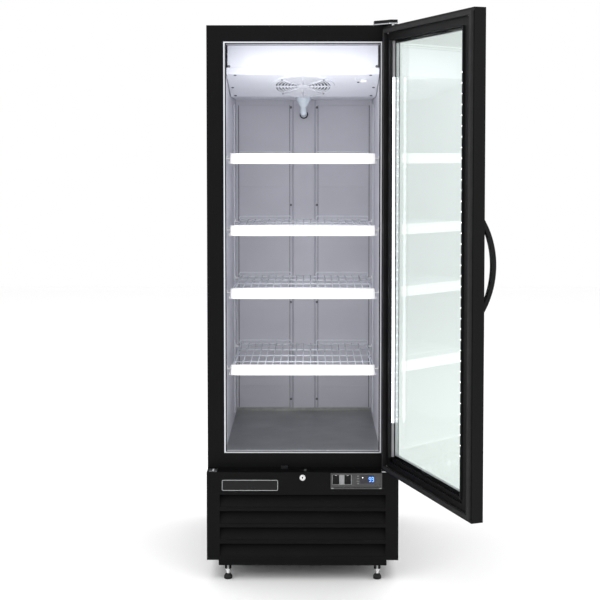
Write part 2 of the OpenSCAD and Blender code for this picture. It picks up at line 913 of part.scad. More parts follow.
// a thin light bar on the side of each upright, its lit edge turned towards the shelves
module led_outline() {
    base = glass_in + 1;
    top = door_in + led_h;
    polygon([[0, base], [led_w, base], [led_w, base + 11], [led_w - 2, top], [0, top]]);
}

module led_bars() {
    color("#17181a") on_door() translate([0, 0, led_z0]) {
        translate([free_in, 0, 0]) linear_extrude(led_z1 - led_z0) led_outline();
        translate([stile_in, 0, 0]) mirror([1, 0, 0]) linear_extrude(led_z1 - led_z0) led_outline();
    }
}

// radius of the arc that spans a chord with a given rise
function arc_r(chord, rise) = (chord * chord / 4 + rise * rise) / (2 * rise);

module door_handle() {
    width = 16;
    grip_len = handle_len - 50;
    outer_r = arc_r(handle_len, handle_out);
    inner_r = arc_r(grip_len, handle_gap);
    x = door_free + 15;
    color("#121213") on_door() difference() {
        intersection() {
            translate([x - width / 2, door_out + outer_r - handle_out, handle_z]) rotate([0, 90, 0])
                cylinder(r = outer_r, h = width, $fn = 96);
            block(x - width, x + width, door_out - handle_out - over, door_out,
                handle_z - handle_len, handle_z + handle_len);
        }
        translate([x - width, door_out + inner_r - handle_gap, handle_z]) rotate([0, 90, 0])
            cylinder(r = inner_r, h = 2 * width, $fn = 96);
    }
}

// the top bearing and the self-closing cartridge at the bottom, both inside the hinge upright
module hinge_bushes() {
    color("#7d8084") on_door() {
        translate([0, 0, door_top - frame_wall - 24]) difference() {
            cylinder(r = 7.8, h = 24);
            translate([0, 0, -over]) cylinder(r = pin_r + running, h = 30);
        }
        translate([0, 0, door_z0 + frame_wall]) difference() {
            cylinder(r = 7.8, h = 90);
            translate([0, 0, -over]) cylinder(r = pin_r + running, h = 34);
        }
    }
}

module shelf_1() {
    shelf(rail_tops[0]);
}

module shelf_2() {
    shelf(rail_tops[1]);
}

module shelf_3() {
    shelf(rail_tops[2]);
}

module shelf_4() {
    shelf(rail_tops[3]);
}

module price_rail_1() {
    price_rail(rail_tops[0]);
}

module price_rail_2() {
    price_rail(rail_tops[1]);
}

module price_rail_3() {
    price_rail(rail_tops[2]);
}

module price_rail_4() {
    price_rail(rail_tops[3]);
}

left_side_panel();
right_side_panel();
face_trim();
top_panel();
outer_back();
foam_insulation();
inner_liner();
floor_deck();
opening_trim();
duct_channel();
shelf_standards();
shelf_clips();
evap_cover();
evap_fan_grille();
evap_fan_motor();
evap_fan_blade();
evap_coil();
drain_hose();
base_chassis();
lower_panel();
louver_blades();
control_bezel();
controller();
light_rocker();
power_rocker();
lock_barrel();
lock_core();
lock_bolt();
door_switch();
switch_plunger();
compressor();
condenser_coil();
condenser_fan_motor();
condenser_fan_blade();
refrigerant_lines();
evaporation_pan();
rear_grille();
cord_gland();
hinge_top_bracket();
hinge_cover();
hinge_bottom_bracket();
shelf_1();
shelf_2();
shelf_3();
shelf_4();
price_rail_1();
price_rail_2();
price_rail_3();
price_rail_4();
foot_front_left();
foot_front_right();
foot_rear_left();
foot_rear_right();
door_frame();
door_glass();
glass_spacer();
door_gasket();
led_bars();
door_handle();
hinge_bushes();
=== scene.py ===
import math

import bmesh
import bpy
from mathutils import Matrix, Vector


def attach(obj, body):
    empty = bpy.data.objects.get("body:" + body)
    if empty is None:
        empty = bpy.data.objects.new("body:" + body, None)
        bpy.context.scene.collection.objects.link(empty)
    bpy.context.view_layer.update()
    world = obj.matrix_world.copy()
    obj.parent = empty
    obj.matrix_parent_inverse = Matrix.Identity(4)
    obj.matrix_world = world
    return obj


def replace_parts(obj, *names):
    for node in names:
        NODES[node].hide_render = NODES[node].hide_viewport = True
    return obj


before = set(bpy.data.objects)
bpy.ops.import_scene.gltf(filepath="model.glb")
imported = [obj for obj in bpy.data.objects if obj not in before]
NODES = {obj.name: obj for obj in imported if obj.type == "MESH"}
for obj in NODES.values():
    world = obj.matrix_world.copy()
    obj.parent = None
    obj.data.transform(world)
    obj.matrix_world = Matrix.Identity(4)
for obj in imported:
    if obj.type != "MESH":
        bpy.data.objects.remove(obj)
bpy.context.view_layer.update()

MM = 0.001

# ---------------------------------------------------------------- sizes, in millimetres
FACE_Y = -350
PANEL_Y = -401
BACK_Y = 368
OUTER_BACK_Y = 409.9
TOP_Z = 2002.9
WALL_SHEET = (470, 1742)
RAIL_TOPS = (1544, 1282, 1052, 772)
SHELF_FRONT = -320
SHELF_DEPTH = 555
SHELF_HALF = 262
SHELF_WIRES = 19
DECK_DROP = 8
PIN = (321, -390)
DOOR_ANGLE = 110.6
DOOR_OUT = -11
DOOR_IN = 29
STILE_IN = -46
FREE_IN = -596
HANDLE_Z = 1199
LED_LOW = 587
LED_HIGH = 1812
LED_STEP = 33.3
HOSE_R = 12.2
HOSE_Y = 90
HOSE_Z = 1703
LOCK = (0, 378)
COMPRESSOR = (180, 150)
SLOPE = math.atan2(72, 240)
FAN_CENTRE = (0, -120, 1799)
GRILLE_OUT = 5.2


def shift(x, y, z):
    """Translation by millimetres."""
    return Matrix.Translation(Vector((x, y, z)) * MM)


def turn(degrees, axis, size=4):
    return Matrix.Rotation(math.radians(degrees), size, axis)


DOOR_FRAME = shift(*PIN, 0) @ turn(DOOR_ANGLE, "Z")
SLOPE_TURN = Matrix.Rotation(-SLOPE, 4, "X")
ON_SLOPE = shift(*FAN_CENTRE) @ SLOPE_TURN


# ---------------------------------------------------------------- materials
class Shader:
    """A Principled material with a small node tree."""

    def __init__(self, name, color, rough=0.5, metal=0.0, spec=0.5):
        self.mat = bpy.data.materials.new(name)
        self.mat.use_nodes = True
        self.nt = self.mat.node_tree
        self.bsdf = self.nt.nodes["Principled BSDF"]
        self.color = color
        self.set("Base Color", (*color, 1))
        self.set("Roughness", rough)
        self.set("Metallic", metal)
        self.set("Specular IOR Level", spec)
        self.height = None
        self.coord = None

    def set(self, socket, value):
        self.bsdf.inputs[socket].default_value = value

    def node(self, kind, **values):
        n = self.nt.nodes.new(kind)
        for key, value in values.items():
            if key in n.inputs:
                n.inputs[key].default_value = value
            else:
                setattr(n, key, value)
        return n

    def link(self, a, b):
        self.nt.links.new(a, b)

    def at(self, stretch=(1, 1, 1)):
        """Object coordinates, stretched."""
        if self.coord is None:
            self.coord = self.node("ShaderNodeTexCoord")
        m = self.node("ShaderNodeMapping")
        m.inputs["Scale"].default_value = stretch
        self.link(self.coord.outputs["Object"], m.inputs["Vector"])
        return m.outputs["Vector"]

    def noise(self, scale, detail=3, stretch=(1, 1, 1)):
        n = self.node("ShaderNodeTexNoise", Scale=scale, Detail=detail, Roughness=0.5)
        self.link(self.at(stretch), n.inputs["Vector"])
        return n.outputs["Fac"]

    def spread(self, fac, low, high):
        """Maps the middle of a noise's range to low .. high."""
        m = self.node("ShaderNodeMapRange")
        m.inputs["From Min"].default_value = 0.3
        m.inputs["From Max"].default_value = 0.7
        m.inputs["To Min"].default_value = low
        m.inputs["To Max"].default_value = high
        self.link(fac, m.inputs["Value"])
        return m.outputs["Result"]

    def vary_color(self, fac, other, lo=0.35, hi=0.65):
        r = self.node("ShaderNodeValToRGB")
        r.color_ramp.elements[0].position = lo
        r.color_ramp.elements[1].position = hi
        r.color_ramp.elements[0].color = (*self.color, 1)
        r.color_ramp.elements[1].color = (*other, 1)
        self.link(fac, r.inputs["Fac"])
        self.link(r.outputs["Color"], self.bsdf.inputs["Base Color"])
        return self

    def vary_rough(self, fac, low, high):
        self.link(self.spread(fac, low, high), self.bsdf.inputs["Roughness"])
        return self

    def bump(self, fac, distance, strength=1.0):
        b = self.node("ShaderNodeBump", Strength=strength, Distance=distance)
        self.link(fac, b.inputs["Height"])
        if self.height is not None:
            self.link(self.height, b.inputs["Normal"])
        self.height = b.outputs["Normal"]
        self.link(self.height, self.bsdf.inputs["Normal"])
        return self


def powder(name, color, rough=0.5, spec=0.3):
    """Powder coat: orange peel, a little dust and slight waviness of the sheet."""
    s = Shader(name, color, rough, 0.0, spec)
    s.vary_color(s.noise(6, 4), tuple(c * 1.1 + 0.0002 for c in color))
    s.vary_rough(s.noise(14, 4), rough - 0.02, rough + 0.03)
    s.bump(s.noise(900, 2), 0.00012, 0.35)
    s.bump(s.noise(2.2, 1), 0.0012, 0.12)
    return s.mat


def coated(name, color, rough=0.35, shade=0.93, spec=0.5, grain=350):
    """Smooth coated sheet or moulding."""
    s = Shader(name, color, rough, 0.0, spec)
    s.vary_color(s.noise(3.5, 3), tuple(c * shade for c in color))
    s.vary_rough(s.noise(22, 4), rough - 0.05, rough + 0.07)
    s.bump(s.noise(grain, 2), 0.00008, 0.3)
    s.bump(s.noise(1.8, 1), 0.0015, 0.1)
    return s.mat


def metal(name, color, rough=0.3, stretch=(1, 1, 40), grain=60, depth=0.00005):
    """Drawn or brushed metal, with streaks across the stretched axis."""
    s = Shader(name, color, rough, 1.0)
    s.vary_color(s.noise(grain, 4, stretch), tuple(c * 0.82 for c in color))
    s.vary_rough(s.noise(9, 4), rough - 0.06, rough + 0.1)
    s.bump(s.noise(grain * 3, 2, stretch), depth, 0.4)
    return s.mat


def galvanised(name):
    """Hot-dip sheet with its spangle."""
    s = Shader(name, (0.36, 0.37, 0.385), 0.42, 0.85)
    v = s.node("ShaderNodeTexVoronoi", Scale=55.0)
    s.link(s.at(), v.inputs["Vector"])
    s.vary_color(v.outputs["Distance"], (0.40, 0.41, 0.425), 0.0, 0.8)
    s.vary_rough(s.noise(35, 3), 0.36, 0.46)
    s.bump(s.noise(240, 2), 0.00006, 0.3)
    return s.mat


def rubber(name, color=(0.006, 0.006, 0.0065), rough=0.62):
    s = Shader(name, color, rough, 0.0, 0.3)
    s.vary_color(s.noise(30, 4), tuple(c * 1.8 for c in color))
    s.bump(s.noise(700, 3), 0.0001, 0.5)
    return s.mat


def glow(name, color, strength, base=(0.9, 0.92, 0.95)):
    s = Shader(name, base, 0.3)
    s.set("Emission Color", (*color, 1))
    s.set("Emission Strength", strength)
    s.vary_rough(s.noise(60, 2), 0.25, 0.4)
    return s.mat


def glazing(name):
    """Float glass: clear, with its green edge and a faint film."""
    s = Shader(name, (0.93, 0.975, 0.955), 0.0, 0.0, 0.5)
    s.set("Transmission Weight", 1.0)
    s.set("IOR", 1.3)
    s.vary_rough(s.noise(5, 3), 0.0, 0.012)
    return s.mat


def fins(name, color, pitch=0.0025):
    """Stacked aluminium fins, seen edge on, with painted shade darkening the gaps between them."""
    s = Shader(name, color, 0.45, 0.7)
    w = s.node("ShaderNodeTexWave", Scale=1.0, Distortion=0.2, Detail=1.0)
    w.bands_direction = "X"
    s.link(s.at((0.314 / pitch, 1, 1)), w.inputs["Vector"])
    # painted shade: alternate wave bands are darkened to a quarter of the colour, for the shaded gaps between the
    # fins
    s.vary_color(w.outputs["Fac"], tuple(c * 0.25 for c in color), 0.3, 0.7)
    s.bump(w.outputs["Fac"], 0.0006, 0.8)
    return s.mat


M = {
    "black": powder("cabinet_black", (0.0032, 0.0032, 0.0036), 0.5, 0.085),
    "door_black": powder("door_black", (0.0032, 0.0032, 0.0036), 0.42, 0.11),
    "dark": powder("shade_black", (0.0030, 0.0030, 0.0034), 0.6, 0.1),
    "trim": coated("opening_trim", (0.72, 0.74, 0.78), 0.22),
    "liner": coated("liner", (0.60, 0.60, 0.655), 0.42),
    "evap": coated("evaporator_white", (0.76, 0.775, 0.83), 0.38),
    "white": coated("rail_white", (0.88, 0.88, 0.885), 0.34),
    "wire": coated("wire_white", (0.72, 0.745, 0.80), 0.3, grain=600),
    "standard": coated("standard_white", (0.62, 0.63, 0.68), 0.35),
    "floor": metal("floor_pan", (0.42, 0.43, 0.42), 0.34, (1, 30, 1)),
    "zinc": metal("zinc", (0.55, 0.56, 0.58), 0.28),
    "nickel": metal("nickel", (0.78, 0.78, 0.78), 0.14, depth=0.00001),
    "galv": galvanised("galvanised"),
    "alu": metal("aluminium", (0.5, 0.5, 0.52), 0.32, (1, 1, 60)),
    "copper": metal("copper", (0.72, 0.34, 0.18), 0.25, (1, 1, 1), 40),
    "rubber": rubber("rubber_black"),
    "plastic_black": coated("moulded_black", (0.0035, 0.0035, 0.004), 0.3, 1.5, 0.16),
    "plastic_dark": coated("moulded_dark", (0.009, 0.0095, 0.0105), 0.45, 1.3, 0.25),
    "bezel": coated("bezel_grey", (0.036, 0.036, 0.036), 0.28, 1.25),
    "motor": powder("motor_grey", (0.05, 0.052, 0.056), 0.5, 0.4),
    "foam": coated("foam", (0.62, 0.52, 0.27), 0.8),
    "glass": glazing("glazing"),
    "spacer": coated("spacer_black", (0.008, 0.008, 0.009), 0.4, 1.4, 0.2),
    "spacer_line": metal("spacer_edge", (0.55, 0.56, 0.58), 0.3),
    "hose": coated("hose_clear", (0.62, 0.68, 0.74), 0.25),
    "hole": rubber("hole_black", (0.002, 0.002, 0.002), 0.8),
    "stem": metal("bright_stem", (0.92, 0.92, 0.93), 0.38, (1, 1, 1), 30),
    "screw": metal("screw_dark", (0.22, 0.22, 0.23), 0.35, (1, 1, 1), 30),
    "seal": rubber("seal_black", (0.004, 0.004, 0.0045), 0.5),
    "badge": coated("badge_black", (0.004, 0.004, 0.0045), 0.2, 1.4, 0.2),
    "badge_line": metal("badge_line", (0.62, 0.63, 0.64), 0.3),
    "plate_grey": coated("switch_plate", (0.30, 0.305, 0.31), 0.3, 0.85),
    "window": coated("window_dark", (0.006, 0.006, 0.012), 0.12, 1.3),
    "coil": fins("evaporator_fins", (0.55, 0.56, 0.58)),
    "condenser": fins("condenser_fins", (0.06, 0.062, 0.066)),
    "led_on": glow("led_lens", (0.93, 0.96, 1.0), 2.2),
    "led_dot": glow("led_dot", (0.92, 0.96, 1.0), 5.0),
    "led_off": coated("led_lens_end", (0.36, 0.35, 0.37), 0.3),
    "blue_digit": glow("digit_blue", (0.08, 0.22, 1.0), 6.0, (0.02, 0.05, 0.3)),
    "white_dot": glow("dot_white", (1, 1, 1), 1.5),
    "compressor": powder("compressor_black", (0.012, 0.012, 0.013), 0.32, 0.5),
}

NODE_MATERIALS = {
    "black": ("left_side_panel", "right_side_panel", "face_trim", "lower_panel"),
    "dark": ("top_panel", "base_chassis", "louver_blades", "rear_grille"),
    "galv": ("outer_back",),
    "foam": ("foam_insulation",),
    "liner": ("inner_liner", "duct_channel"),
    "floor": ("floor_deck",),
    "trim": ("opening_trim",),
    "standard": ("shelf_standards",),
    "white": ("shelf_clips", *(f"price_rail_{k}" for k in range(1, 5))),
    "wire": tuple(f"shelf_{k}" for k in range(1, 5)),
    "evap": ("evap_cover", "evap_fan_grille"),
    "motor": ("evap_fan_motor", "condenser_fan_motor"),
    "plastic_dark": ("evap_fan_blade", "door_switch", "switch_plunger", "evaporation_pan", "led_bars"),
    "hose": ("drain_hose",),
    "coil": ("evap_coil",),
    "condenser": ("condenser_coil",),
    "alu": ("condenser_fan_blade",),
    "bezel": ("control_bezel", "controller"),
    "plastic_black": ("light_rocker", "power_rocker", "hinge_cover", "door_handle"),
    "nickel": ("lock_barrel", "lock_core"),
    "zinc": ("lock_bolt", "hinge_top_bracket", "hinge_bottom_bracket", "hinge_bushes"),
    "compressor": ("compressor",),
    "copper": ("refrigerant_lines",),
    "rubber": ("cord_gland", "door_gasket", "foot_front_left", "foot_front_right",
               "foot_rear_left", "foot_rear_right"),
    "door_black": ("door_frame",),
    "glass": ("door_glass",),
    "spacer": ("glass_spacer",),
}

for key, names in NODE_MATERIALS.items():
    for name in names:
        node = NODES[name]
        node.data.materials.clear()
        node.data.materials.append(M[key])


# ---------------------------------------------------------------- mesh tools, in millimetres
def circle(r, count):
    """Points round a circle, as (x, y) pairs."""
    turns = [2 * math.pi * k / count for k in range(count)]
    return [(r * math.cos(a), r * math.sin(a)) for a in turns]


class Build:
    """Collects shapes into one mesh object."""

    def __init__(self, name, mats, body, slot=None, place=None):
        self.name, self.body, self.slot = name, body, slot
        self.mats = mats if isinstance(mats, (list, tuple)) else [mats]
        self.place = place or Matrix.Identity(4)
        self.bm = bmesh.new()
        self.index = 0

    def use(self, index):
        self.index = index
        return self

    def faces(self, verts, faces, smooth=False):
        vs = [self.bm.verts.new(Vector(v) * MM) for v in verts]
        for f in faces:
            face = self.bm.faces.new([vs[i] for i in f])
            face.smooth = smooth
            face.material_index = self.index
        return self

    def box(self, x0, x1, y0, y1, z0, z1):
        verts = [(x, y, z) for z in (z0, z1) for y in (y0, y1) for x in (x0, x1)]
        return self.faces(verts, [(0, 2, 3, 1), (4, 5, 7, 6), (0, 1, 5, 4),
                                  (2, 6, 7, 3), (0, 4, 6, 2), (1, 3, 7, 5)])

    def rings(self, rings, closed=False, smooth=True):
        """Skins a row of equal rings; an open row gets its two ends closed."""
        n, m = len(rings[0]), len(rings)
        faces = []
        for i in range(m if closed else m - 1):
            for j in range(n):
                a, b = i * n + j, i * n + (j + 1) % n
                c, d = (i + 1) % m * n + (j + 1) % n, (i + 1) % m * n + j
                faces.append((a, b, c, d))
        if not closed:
            faces.append(tuple(range(n))[::-1])
            faces.append(tuple(range((m - 1) * n, m * n)))
        return self.faces([v for ring in rings for v in ring], faces, smooth)

    def tube(self, path, r, sides=10, closed=False):
        """Round wire along a path, with the joints of each bend mitred."""
        pts = [Vector(p) for p in path]
        n = len(pts)
        up, rings = None, []
        for i, p in enumerate(pts):
            before = pts[i] - pts[i - 1] if closed or i > 0 else pts[1] - pts[0]
            after = pts[(i + 1) % n] - pts[i] if closed or i < n - 1 else pts[-1] - pts[-2]
            before.normalize()
            after.normalize()
            t = (before + after).normalized()
            if up is None:
                up = t.orthogonal().normalized()
            up = (up - t * up.dot(t)).normalized()
            side = t.cross(up)
            flat = max(t.dot(before), 0.5)
            bend = (after - before)
            bend = bend.normalized() if bend.length > 1e-6 else None
            ring = []
            for k in range(sides):
                a = 2 * math.pi * k / sides
                v = up * math.cos(a) * r + side * math.sin(a) * r
                if bend is not None:
                    v += bend * v.dot(bend) * (1 / flat - 1)
                ring.append(p + v)
            rings.append(ring)
        return self.rings(rings, closed)

    def lathe(self, profile, centre=(0, 0, 0), axis="Z", sides=40, closed=False):
        """Turns (radius, height) pairs round an axis; a closed profile makes a ring."""
        spin = {"Z": Matrix.Identity(3), "Y": turn(-90, "X", 3), "-Y": turn(90, "X", 3),
                "X": turn(90, "Y", 3), "-Z": turn(180, "X", 3)}[axis]
        rings = [[Vector(centre) + spin @ Vector((x, y, h)) for x, y in circle(max(r, 0.001), sides)]
                 for r, h in profile]
        return self.rings(rings, closed)

    def prism(self, outline, lift):
        """Extrudes a closed (x, y) outline from z = lift[0] to lift[1]."""
        return self.rings([[(x, y, z) for x, y in outline] for z in lift], smooth=False)

    def moved(self, matrix, start):
        """Moves the vertices from number start on."""
        self.bm.verts.ensure_lookup_table()
        for v in self.bm.verts[start:]:
            v.co = matrix @ v.co
        return self

    def count(self):
        return len(self.bm.verts)

    def done(self, bevel=0.0, angle=35):
        bmesh.ops.recalc_face_normals(self.bm, faces=self.bm.faces)
        self.bm.transform(self.place)
        mesh = bpy.data.meshes.new(self.name)
        self.bm.to_mesh(mesh)
        self.bm.free()
        for m in self.mats:
            mesh.materials.append(m)
        o = bpy.data.objects.new(self.name, mesh)
        bpy.context.scene.collection.objects.link(o)
        if bevel:
            soften(o, bevel, angle)
        if self.body:
            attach(o, self.body)
        return o


def soften(o, width, angle=35):
    """Rounds an object's edges a little, so that they catch light."""
    b = o.modifiers.new("edges", "BEVEL")
    b.width = width * MM
    b.segments = 2
    b.limit_method = "ANGLE"
    b.angle_limit = math.radians(angle)
    b.use_clamp_overlap = True
    b.harden_normals = False


def rounded(x0, x1, y0, y1, r, steps=5):
    """Outline of a rectangle with round corners."""
    pts = []
    corners = ((x1 - r, y1 - r, 0), (x0 + r, y1 - r, 90), (x0 + r, y0 + r, 180), (x1 - r, y0 + r, 270))
    for cx, cy, a0 in corners:
        for k in range(steps + 1):
            a = math.radians(a0 + 90 * k / steps)
            pts.append((cx + r * math.cos(a), cy + r * math.sin(a)))
    return pts


EDGE_WIDTHS = {
    "left_side_panel": 0.5, "right_side_panel": 0.5, "face_trim": 0.5, "top_panel": 0.4, "outer_back": 0.4,
    "lower_panel": 0.8, "louver_blades": 0.4, "control_bezel": 1.0, "controller": 0.7, "light_rocker": 1.2,
    "power_rocker": 1.2, "door_frame": 1.2, "door_handle": 3.0, "hinge_cover": 1.8, "hinge_bottom_bracket": 0.7,
    "hinge_top_bracket": 0.7, "opening_trim": 1.6, "duct_channel": 0.4, "evap_cover": 0.5, "evap_fan_grille": 0.6,
    "lock_barrel": 0.5, "lock_core": 0.4, "lock_bolt": 0.6, "door_switch": 0.8, "base_chassis": 0.5,
    "shelf_clips": 0.8, "led_bars": 0.8, "door_gasket": 1.5, "compressor": 1.5, "condenser_fan_motor": 0.6,
    "evap_fan_motor": 0.8, "evaporation_pan": 1.0, "cord_gland": 0.8, "price_rail_1": 0.7, "price_rail_2": 0.7,
    "price_rail_3": 0.7, "price_rail_4": 0.7, "shelf_standards": 0.3, "rear_grille": 0.4,
}

for name, width in EDGE_WIDTHS.items():
    soften(NODES[name], width)


# ---------------------------------------------------------------- shelves: round coated wires
def shelf(number, top):
    body = f"shelf_{number}"
    rod_r, wire_r, guard_r = 2.5, 1.6, 2.0
    z_wire = top - DECK_DROP - 1.5
    z_rod = z_wire - 1.5 - rod_r
    x_rod = SHELF_HALF - rod_r
    y0, y1 = SHELF_FRONT + 5, SHELF_FRONT + SHELF_DEPTH

    o = Build(f"shelf_wires_{number}", M["wire"], body, "wire_white")
    o.tube([(-x_rod, y0 + rod_r, z_rod), (x_rod, y0 + rod_r, z_rod),
            (x_rod, y1 - rod_r, z_rod), (-x_rod, y1 - rod_r, z_rod)], rod_r, 12, closed=True)
    for k in (1, 2, 3):
        y = y0 + rod_r + k * (y1 - y0 - 2 * rod_r) / 4
        o.tube([(-x_rod, y, z_rod), (x_rod, y, z_rod)], rod_r, 10)
    for i in range(SHELF_WIRES):
        x = -SHELF_HALF + 10.5 + i * (2 * SHELF_HALF - 21) / (SHELF_WIRES - 1)
        o.tube([(x, y0 + 1, z_wire), (x, y1 - 1, z_wire)], wire_r, 8)
    guard = rounded(51, SHELF_HALF + 1, top - 12, top + 4, 7.5, 6)
    for side in (-1, 1):
        o.tube([(side * x, y1 - rod_r, z) for x, z in guard], guard_r, 10, closed=True)
    shown = o.done()
    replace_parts(shown, f"shelf_{number}")

    # moulded ends of the price rail, with their hooks
    o = Build(f"rail_ends_{number}", M["white"], body, "white_plastic")
    for side in (-1, 1):
        x = side * (SHELF_HALF + 1)
        hook = ((1, 34), (4, 37), (5, 32), (3, 28))
        o.tube([(x + side * out, SHELF_FRONT + 4, top - drop) for out, drop in hook], 1.4, 8)
        o.box(*sorted((x, x - side * 3)), SHELF_FRONT, SHELF_FRONT + 14, top - 18, top)
    o.done(0.5)

    # lips of the label holder along the rail
    o = Build(f"label_lips_{number}", M["white"], body, "white_plastic")
    for z in (top - 3.2, top - 37.8):
        o.box(-SHELF_HALF + 0.5, SHELF_HALF - 0.5, SHELF_FRONT - 1.6, SHELF_FRONT + 0.2, z, z + 3)
    o.done(0.6)


for number, top in enumerate(RAIL_TOPS, 1):
    shelf(number, top)


# ---------------------------------------------------------------- screws
def screw(o, centre, axis, r, h):
    """Pan head with a shallow round recess."""
    o.lathe([(0, 0), (r, 0), (r * 0.98, h * 0.35), (r * 0.8, h * 0.75), (r * 0.45, h), (r * 0.2, h * 0.62),
             (0, h * 0.5)], centre, axis, 20)


def screws(name, mat, slot, axis, centres, r, h, body="cabinet", place=None):
    """One piece made of equal screws."""
    o = Build(name, M[mat], body, slot, place)
    for centre in centres:
        screw(o, centre, axis, r, h)
    o.done()


# ---------------------------------------------------------------- evaporator and rear wall
def on_cover(x, up, out=0.4):
    """Point on the sloping cover: x, distance up the slope and height off it, about the fan."""
    return ON_SLOPE @ (Vector((x, up, -out)) * MM) / MM


def slope_screws(name, points, r, h):
    o = Build(name, M["screw"], "cabinet", "evap_white")
    for p in points:
        start = o.count()
        screw(o, (0, 0, 0), "-Z", r, h)
        o.moved(shift(*p) @ SLOPE_TURN, start)
    o.done()


COVER_SCREWS = ((250, -115), (267, 20), (262, 112))
slope_screws("cover_screws", [on_cover(s * x, up) for s in (-1, 1) for x, up in COVER_SCREWS], 5.5, 2.2)
slope_screws("grille_screws", [on_cover(x, up, GRILLE_OUT) for x in (-78, 78) for up in (-78, 78)], 4, 1.8)
screws("cover_face_screws", "screw", "evap_white", "-Y", [(x, -240.2, 1863) for x in (-272, 272)], 5, 2)

o = Build("cover_fold", M["evap"], "cabinet", "evap_white")
o.box(-281, 281, -241.2, -239.9, 1855.5, 1858.5)
o.box(-281, 281, -241.0, -239.4, 1833.5, 1836.5)
o.done(0.4)

# temperature sensor, with its lead, and a black disc of painted shade on the hole the lead goes through
o = Build("sensor", [M["white"], M["hole"]], "cabinet", "white_plastic")
start = o.count()
o.prism(rounded(-11, 11, -5, 5, 2), (-9, 0.5))
o.tube([(-11, 0, -4), (-24, -3, -5), (-32, -14, -3), (-34, -26, 1)], 1.8, 8)
# painted shade: a thin black disc stands for the dark inside of the hole
o.use(1).lathe([(0, 0), (4.5, 0), (4.5, 1.2), (0, 1.2)], (-20, 20, -1.6))
o.moved(shift(*on_cover(227, -61)) @ SLOPE_TURN, start)
o.done(0.4)

o = Build("grille_hub", M["evap"], "cabinet", "grille_white")
start = o.count()
o.lathe([(0, -2), (12, -2), (19, -1), (23, 0.2), (23, 1)], (0, 0, -GRILLE_OUT), sides=48)
for k in range(8):
    a = math.radians(45 * k)
    o.tube([(math.cos(a) * r, math.sin(a) * r, -5) for r in (22, 60, 104)], 2.0, 8)
o.moved(ON_SLOPE, start)
o.done()

# ribs of the drain hose: along its level run, then up to the funnel
o = Build("hose_ribs", M["hose"], "cabinet", "hose")
hoop = circle(HOSE_R, 24)
for k in range(34):
    o.tube([(a, HOSE_Y + 8 + k * 7.6, HOSE_Z + b) for a, b in hoop], 1.1, 6, closed=True)
for k in range(5):
    o.tube([(a, HOSE_Y + b, HOSE_Z + 4 + k * 4) for a, b in hoop], 1.0, 6, closed=True)
o.done()

o = Build("hose_hole", M["hole"], "cabinet", "gland_black")
o.lathe([(12.4, 0), (17.5, 0), (17.5, 2.4), (12.4, 2.4)], (0, 354.5, HOSE_Z), "Y", 36, True)
o.done(0.3)

screws("duct_screws", "screw", "white_liner", "-Y",
       [(x, BACK_Y - 1.2, z) for z in (1733, 1325, 916, 505) for x in (-54, 54)], 5.2, 2.2)

o = Build("rear_wall_seams", M["seal"], "cabinet", "white_liner")
for side in (-1, 1):
    for a, b in ((58.1, 59.9), (272.1, 274)):
        o.box(*sorted((side * a, side * b)), BACK_Y - 1.3, BACK_Y + 0.2, *WALL_SHEET)
o.done()

# two wall sheets stand a little proud of the rear wall, one on each side of the duct
o = Build("rear_wall_sheets", M["liner"], "cabinet", "white_liner")
for side in (-1, 1):
    o.box(*sorted((side * 60, side * 272)), BACK_Y - 1.6, BACK_Y + 0.2, *WALL_SHEET)
    for z in (560, 980, 1400):
        o.box(*sorted((side * 62, side * 270)), BACK_Y - 2.6, BACK_Y - 1.4, z, z + 3)
o.done(0.6)


# return bends of the two coils
def bends(name, mat, slot, ends, r):
    """U bends at the ends of a coil; ends are (x, side, pairs of (y, z) points)."""
    o = Build(name, M[mat], "cabinet", slot)
    for x, side, pairs in ends:
        for (y0, z0), (y1, z1) in pairs:
            c = Vector((x, (y0 + y1) / 2, (z0 + z1) / 2))
            d = Vector((0, y1 - y0, z1 - z0)) / 2
            path = [c - d * math.cos(a) + Vector((side * d.length * math.sin(a), 0, 0))
                    for a in (math.pi * k / 10 for k in range(11))]
            o.tube(path, r, 10)
    o.done()


def row_pairs(ys, zs, first):
    return [((y, zs[i]), (y, zs[i + 1])) for y in ys for i in range(first, len(zs) - 1, 2)]


coil_y = (110, 170, 230, 290)
coil_z = (1815, 1841, 1867, 1893)
bends("evap_bends", "alu", "coil_metal",
      ((241, 1, row_pairs(coil_y, coil_z, 1)), (-241, -1, row_pairs(coil_y, coil_z, 0))), 4.8)
cond_z = tuple(101 + 30 * k for k in range(8))
bends("condenser_bends", "condenser", "condenser_black",
      ((72, 1, row_pairs((-292,), cond_z, 0)), (-302, -1, row_pairs((-318, -292), cond_z, 1))), 4.5)


# ---------------------------------------------------------------- base: badge, controls, lock, hinge cap
def plate(o, x0, x1, z0, z1, r, shrink, steps):
    """A plate on the front with round corners; steps are (inset, y) from its back to its face."""
    o.rings([[(x, y, z) for x, z in rounded(x0 + i, x1 - i, z0 + i, z1 - i, r - i * shrink)]
             for i, y in steps], smooth=False)


o = Build("badge_plate", [M["badge"], M["badge_line"]], "cabinet", "black_steel")
plate(o, -292, -87, 329, 371, 5, 0.6, ((0, PANEL_Y), (0, -402.1), (0.8, -402.6)))
o.use(1).tube([(x, -402.6, z) for x, z in rounded(-289.5, -89.5, 331.5, 368.5, 4)], 0.9, 8, closed=True)
o.done()

# plate round the two switches: three uprights, then the strips above and below each switch
o = Build("switch_plate", M["plate_grey"], "cabinet", "bezel_grey")
uprights = [(x0, x1, 353, 390) for x0, x1 in ((106, 108.2), (131.8, 150.7), (174.3, 176.5))]
strips = [(x0, x1, z0, z1) for x0, x1 in ((108.2, 131.8), (150.7, 174.3))
          for z0, z1 in ((353, 354.4), (388.6, 390))]
for x0, x1, z0, z1 in uprights + strips:
    o.box(x0, x1, -404.2, -402.9, z0, z1)
o.done(0.3)

